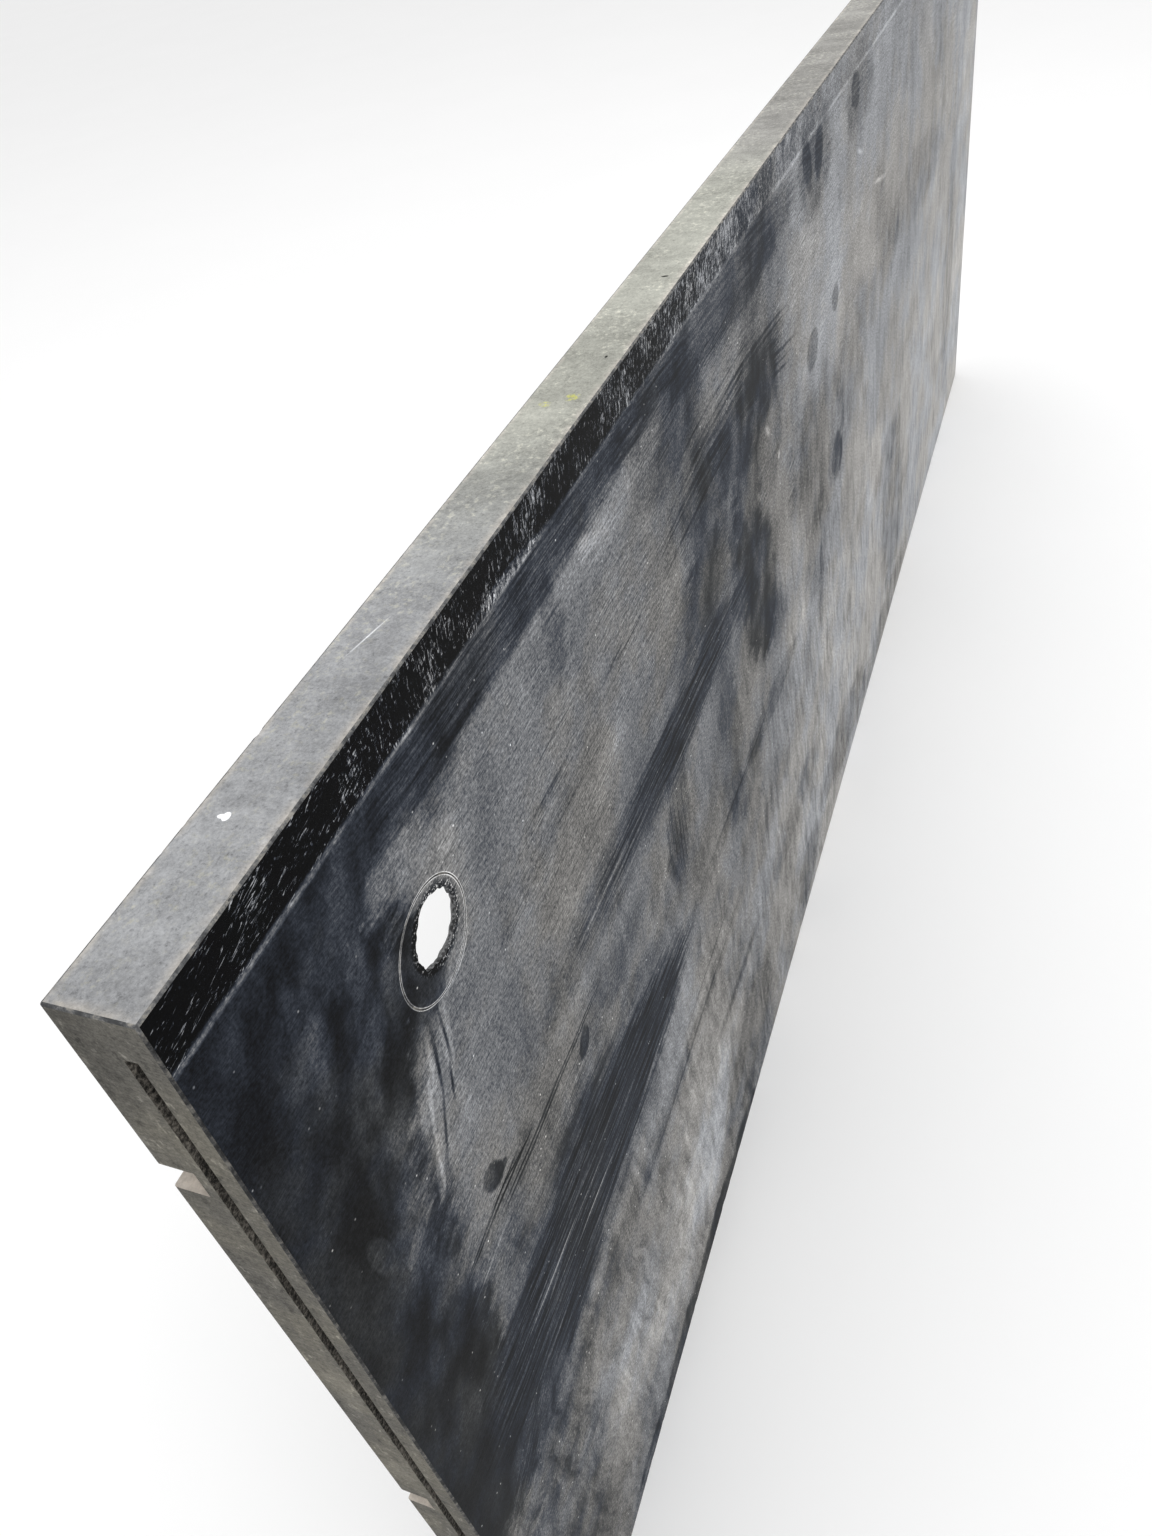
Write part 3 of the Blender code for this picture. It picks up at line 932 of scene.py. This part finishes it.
def top_marks(s, place, along, down, level, tint):
    """The top edge: dust and cream specks, crayon strokes, a pale scratch and a white chip.

    Here down is the distance behind the honed face.
    """
    wandering = s.warped(place, 60.0, 0.004, 3.0)
    dusty = s.times(s.step(along, 0.16, 0.42), s.step(along, 0.75, 0.60, 0.0, 1.0))
    level = s.plus(level, dusty, 0.075)
    speckle = s.noise(place, 330.0, 4.0, 0.7)
    bare_patches = s.step(s.noise(place, 30.0, 4.0, 0.7), 0.40, 0.56)
    specks = s.times(s.step(speckle, 0.52, 0.64), bare_patches)
    level = s.plus(level, s.times(specks, s.step(along, 0.06, 0.30, 0.3, 1.0)), 0.13)
    level = s.plus(level, s.step(speckle, 0.42, 0.34), -0.07)
    drawn = s.noise(wandering, 1.0, 5.0, 0.65, 0.0, (60.0, 14.0, 1.0))
    level = s.varied(level, drawn, 0.20)
    scratch = s.stroke(place, (0.153, 0.0184), (0.0140, 0.00050), -12.0)
    level = s.plus(level, scratch, 0.36)
    front_rim = s.step(down, 0.0050, 0.0004)
    back_rim = s.step(down, 0.0262, 0.0296)
    rims = s.math("MAXIMUM", s.math("MAXIMUM", front_rim, back_rim), s.step(along, 0.0050, 0.0006))
    lip = s.times(rims, s.step(s.noise(place, 80.0, 4.0, 0.65), 0.34, 0.56))
    level = s.plus(level, lip, 0.09)
    chip = s.math(
        "MAXIMUM",
        s.patch(wandering, (0.0678, 0.0186), (0.0021, 0.0014), 0.0, 0.3),
        s.patch(wandering, (0.0674, 0.0200), (0.0010, 0.0016), 12.0, 0.3),
    )
    level = s.plus(level, chip, 0.9)
    flecks = s.math(
        "MAXIMUM",
        s.patch(wandering, (0.366, 0.0088), (0.0014, 0.0008), 0.0, 0.5),
        s.patch(wandering, (0.460, 0.0098), (0.0012, 0.0022), 8.0, 0.5),
    )
    level = s.plus(level, flecks, -0.45)
    crayon = crayon_on_top(s, place, wandering)
    cream = s.mix(s.step(along, 0.15, 0.32), (0.985, 1.0, 1.03), (0.995, 1.0, 0.89))
    later = s.mix(s.step(along, 0.58, 0.72), cream, (1.02, 1.0, 0.945))
    speckled = s.mix(s.times(specks, 0.7), later, (1.02, 1.0, 0.86))
    warm = s.mix(s.times(lip, 0.8), speckled, (1.02, 0.95, 0.86))
    return s.plus(level, crayon, 0.12), s.mix(crayon, warm, (1.0, 1.0, 0.34))


def end_marks(s, place, along, down, level, tint):
    """The near end: darker towards the back at the top, pale scuffs lower down."""
    wandering = s.warped(place, 40.0, 0.01)
    dark = s.patch(wandering, (0.024, 0.01), (0.014, 0.06), 0.0, 0.9)
    level = s.plus(level, dark, -0.05)
    scuffed = s.math(
        "MAXIMUM",
        s.patch(wandering, (0.019, 0.232), (0.011, 0.042), 0.0, 0.9),
        s.patch(wandering, (0.020, 0.318), (0.010, 0.016), 0.0, 0.9),
    )
    level = s.plus(level, scuffed, 0.045)
    scuffs = s.noise(s.warped(place, 30.0, 0.01), 1.0, 5.0, 0.65, 0.0, (200.0, 90.0, 1.0))
    level = s.plus(level, s.step(scuffs, 0.56, 0.70), 0.15)
    level = s.plus(level, s.step(scuffs, 0.44, 0.34), -0.07)
    lines = s.noise(place, 1.0, 3.0, 0.6, 0.0, (30.0, 700.0, 1.0))
    return s.varied(level, lines, 0.12), tint


def back_marks(s, place, along, down, level, tint):
    """The back: long shallow arcs left by the saw, and stone slurry dried on it."""
    arcs = s.noise(s.warped(place, 0.8, 0.05), 1.0, 3.0, 0.6, 0.0, (1.2, 560.0, 1.0))
    level = s.varied(level, arcs, 0.20)
    slurry = s.step(s.noise(place, 5.0, 9.0, 0.66, 0.4), 0.44, 0.66)
    tint = s.mix(slurry, tint, (1.0, 0.975, 0.93))
    return s.plus(level, slurry, 0.09), tint


def broken_stone():
    """Freshly broken stone: dark crystals with bright facets."""
    s = Shader("broken_stone")
    cells = s.filled("ShaderNodeTexVoronoi", {"Vector": s.place, "Scale": 1100.0})
    facets = s.step(cells.outputs["Color"], 0.2, 0.95, 0.24, 0.52)
    level = s.varied(facets, s.noise(s.place, 200.0, 4.0), 0.25)
    colour = s.grey_to_colour(level, (0.97, 0.98, 1.0))
    return s.finish(colour, 0.6, s.bump(s.noise(s.place, 260.0, 5.0, 0.7), 0.0014, 0.8))


def groove_stone():
    s = Shader("groove_stone")
    coarse = s.step(s.noise(s.place, 30.0, 3.0), 0.40, 0.64, 0.0, 0.10)
    level = s.step(s.noise(s.place, 520.0, 4.0, 0.8), 0.34, 0.68, 0.10, 0.46)
    level = s.math("ADD", level, coarse)
    colour = s.grey_to_colour(level, (1.02, 0.93, 0.80))
    return s.finish(colour, 0.85, s.bump(s.noise(s.place, 420.0, 4.0, 0.7), 0.0008, 0.8))


def channel_stone():
    s = Shader("channel_stone")
    level = s.step(s.noise(s.place, 60.0, 6.0, 0.7), 0.30, 0.70, 0.60, 0.86)
    colour = s.grey_to_colour(level, (1.0, 0.91, 0.81))
    rough = s.noise(s.place, 1.0, 4.0, 0.7, 0.0, (60.0, 900.0, 900.0))
    return s.finish(colour, 0.8, s.bump(rough, 0.0005, 0.7))


def worn_arris():
    """The eased arrises: rubbed pale, with cream dust in places, and darker up the near end."""
    s = Shader("worn_arris")
    rubbed = s.noise(s.place, 220.0, 5.0, 0.75)
    level = s.step(rubbed, 0.35, 0.68, 0.24, 0.56)
    parts = s.filled("ShaderNodeSeparateXYZ", {"Vector": s.place})
    at_near_end = s.step(parts.outputs["X"], LOW.x + 1.5 * ARRIS, LOW.x + ARRIS)
    below_top = s.step(parts.outputs["Z"], HIGH.z - 0.002, HIGH.z - 0.004)
    level = s.plus(level, s.times(at_near_end, below_top), -0.16)
    colour = s.grey_to_colour(level, s.mix(s.step(rubbed, 0.45, 0.6), (0.95, 0.97, 1.0), (1.0, 0.95, 0.86)))
    return s.finish(colour, 0.65, s.bump(rubbed, 0.0003, 0.6))


# ---------------- bars and resin
def rusty_steel():
    s = Shader("rusty_steel")
    rust = s.step(s.noise(s.place, 160.0, 5.0, 0.7, 0.5), 0.42, 0.58)
    fine = s.noise(s.place, 900.0, 3.0, 0.7)
    brown = s.mix(fine, (0.16, 0.06, 0.025), (0.33, 0.15, 0.07))
    colour = s.mix(rust, (0.30, 0.29, 0.28), brown)
    material = s.finish(colour, s.plus(0.4, rust, 0.4), s.bump(fine, 0.0003, 0.5))
    s.put(s.surface.inputs["Metallic"], s.plus(0.9, rust, -0.8))
    return material


def dusty_resin():
    s = Shader("dusty_resin")
    clouds = s.noise(s.place, 70.0, 5.0, 0.65)
    grit = s.noise(s.place, 1200.0, 2.0, 0.7)
    level = s.varied(s.varied(0.60, clouds, 0.22), grit, 0.14)
    colour = s.grey_to_colour(level, (1.0, 0.95, 0.80))
    return s.finish(colour, s.step(clouds, 0.4, 0.65, 0.28, 0.60), s.bump(clouds, 0.0006, 0.5))


def make_resin(name, material):
    """A poured bed round a bar: its top sags between the channel's walls and ripples a little."""
    low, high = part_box(f"resin_{name}")
    bar_low, bar_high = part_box(f"bar_{name}")
    centre_y = (bar_low.y + bar_high.y) / 2
    centre_z = (bar_low.z + bar_high.z) / 2
    radius = (bar_high.z - bar_low.z) / 2 + BAR_GAP
    sides, rows = 48, 300
    turns = [2 * math.pi * (side + 0.5) / sides for side in range(sides)]
    builder = bmesh.new()

    def point(x, turn):
        """A point of the bed's outline, which is a rectangle round the bar."""
        direction = Vector((math.cos(turn), math.sin(turn)))
        reach = 1.0 / max(abs(direction.x) / (high.y - centre_y), abs(direction.y) / (high.z - centre_z))
        if direction.x < 0:
            reach = min(reach, (centre_y - low.y) / abs(direction.x))
        place = Vector((x, centre_y + direction.x * reach, centre_z + direction.y * reach))
        if direction.x > 0 and place.y > high.y - NEARLY_ZERO:
            sag = RESIN_SAG * (1 - ((place.z - centre_z) / (high.z - centre_z)) ** 2)
            sag += RESIN_RIPPLE * (1 + noise.noise(Vector((x * 30.0, place.z * 120.0, 5.0))))
            place.y -= sag
        return place

    def bore(x, turn):
        return x, centre_y + radius * math.cos(turn), centre_z + radius * math.sin(turn)

    outer, inner = [], []
    for row in range(rows + 1):
        x = low.x + (high.x - low.x) * (row / rows)
        outer.append([builder.verts.new(point(x, turn)) for turn in turns])
        inner.append([builder.verts.new(bore(x, turn)) for turn in turns])
    for row in range(rows):
        for k in range(sides):
            after = (k + 1) % sides
            builder.faces.new((outer[row][k], outer[row][after], outer[row + 1][after], outer[row + 1][k]))
            builder.faces.new((inner[row][k], inner[row + 1][k], inner[row + 1][after], inner[row][after]))
    for row in (0, rows):
        for k in range(sides):
            after = (k + 1) % sides
            builder.faces.new((outer[row][k], inner[row][k], inner[row][after], outer[row][after]))
    mesh = mesh_from(builder, f"resin_bed_{name}")
    mesh.materials.append(material)
    mesh.shade_smooth()
    mesh.set_sharp_from_angle(angle=math.radians(40))
    bed = new_object(f"resin_bed_{name}", mesh)
    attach(bed, "root")
    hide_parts(f"resin_{name}")


# ---------------- floor, light and camera
def make_floor():
    builder = bmesh.new()
    bmesh.ops.create_circle(builder, cap_ends=True, radius=60.0, segments=64)
    mesh = mesh_from(builder, "floor")
    floor = new_object("floor", mesh)
    s = Shader("pale_floor")
    level = s.varied(0.97, s.noise(s.place, 3.0, 3.0), 0.01)
    mesh.materials.append(s.finish(s.grey_to_colour(level, (1.0, 1.0, 1.0)), 0.9))


def make_light():
    world = bpy.data.worlds.new("studio")
    bpy.context.scene.world = world
    world.use_nodes = True
    background = world.node_tree.nodes["Background"]
    background.inputs["Color"].default_value = (1.0, 1.0, 1.0, 1.0)
    background.inputs["Strength"].default_value = 0.9
    lamps = (
        ("overhead", (-0.3, -0.4, 4.0), (0.0, 0.0, 0.0), 4.0, 60.0),
        ("front_fill", (-2.5, -3.5, 2.0), (0.0, 0.0, 0.3), 3.0, 15.0),
    )
    for name, place, aim, size, power in lamps:
        data = bpy.data.lights.new(name, "AREA")
        data.shape = "DISK"
        data.size = size
        data.energy = power
        lamp = new_object(name, data)
        lamp.location = place
        lamp.rotation_mode = "QUATERNION"
        lamp.rotation_quaternion = (Vector(aim) - Vector(place)).to_track_quat("-Z", "Y")


def make_camera():
    """Held close to the top near corner, looking down along the honed face."""
    data = bpy.data.cameras.new("camera")
    data.sensor_width = 36.0
    data.lens = CAMERA_LENS
    data.clip_start = 0.01
    data.clip_end = 200.0
    camera = new_object("camera", data)
    camera.location = corner(0, 0, 1) + CAMERA_OFFSET
    back = CAMERA_RIGHT.cross(CAMERA_UP).normalized()
    camera.rotation_mode = "QUATERNION"
    camera.rotation_quaternion = Matrix((CAMERA_RIGHT, CAMERA_UP, back)).transposed().to_quaternion()
    bpy.context.scene.camera = camera


# ---------------- everything together
top_start = (LOW.x, -LOW.y)
stone_materials = [
    honed_face(),
    sawn("sawn_top", (0, 1, top_start, 1), 0.555, (0.97, 0.99, 1.0), top_marks),
    sawn("sawn_bottom", (0, 1, top_start, 1), 0.47, (1.02, 1.0, 0.95)),
    sawn("sawn_end", (1, 2, (LOW.y, HIGH.z)), 0.372, (1.05, 1.0, 0.88), end_marks),
    sawn("sawn_back", (0, 2, (LOW.x, HIGH.z)), 0.47, (0.98, 0.99, 1.0), back_marks),
    broken_stone(),
    groove_stone(),
    channel_stone(),
    worn_arris(),
]
make_stone(stone_materials)

steel = rusty_steel()
resin = dusty_resin()
for channel in CHANNELS:
    make_resin(channel, resin)
    bar = frame["nodes"][f"bar_{channel}"]
    bar.data.materials.clear()
    bar.data.materials.append(steel)

make_floor()
make_light()
make_camera()
bpy.context.scene.view_settings.view_transform = "Standard"

bpy.context.view_layer.update()
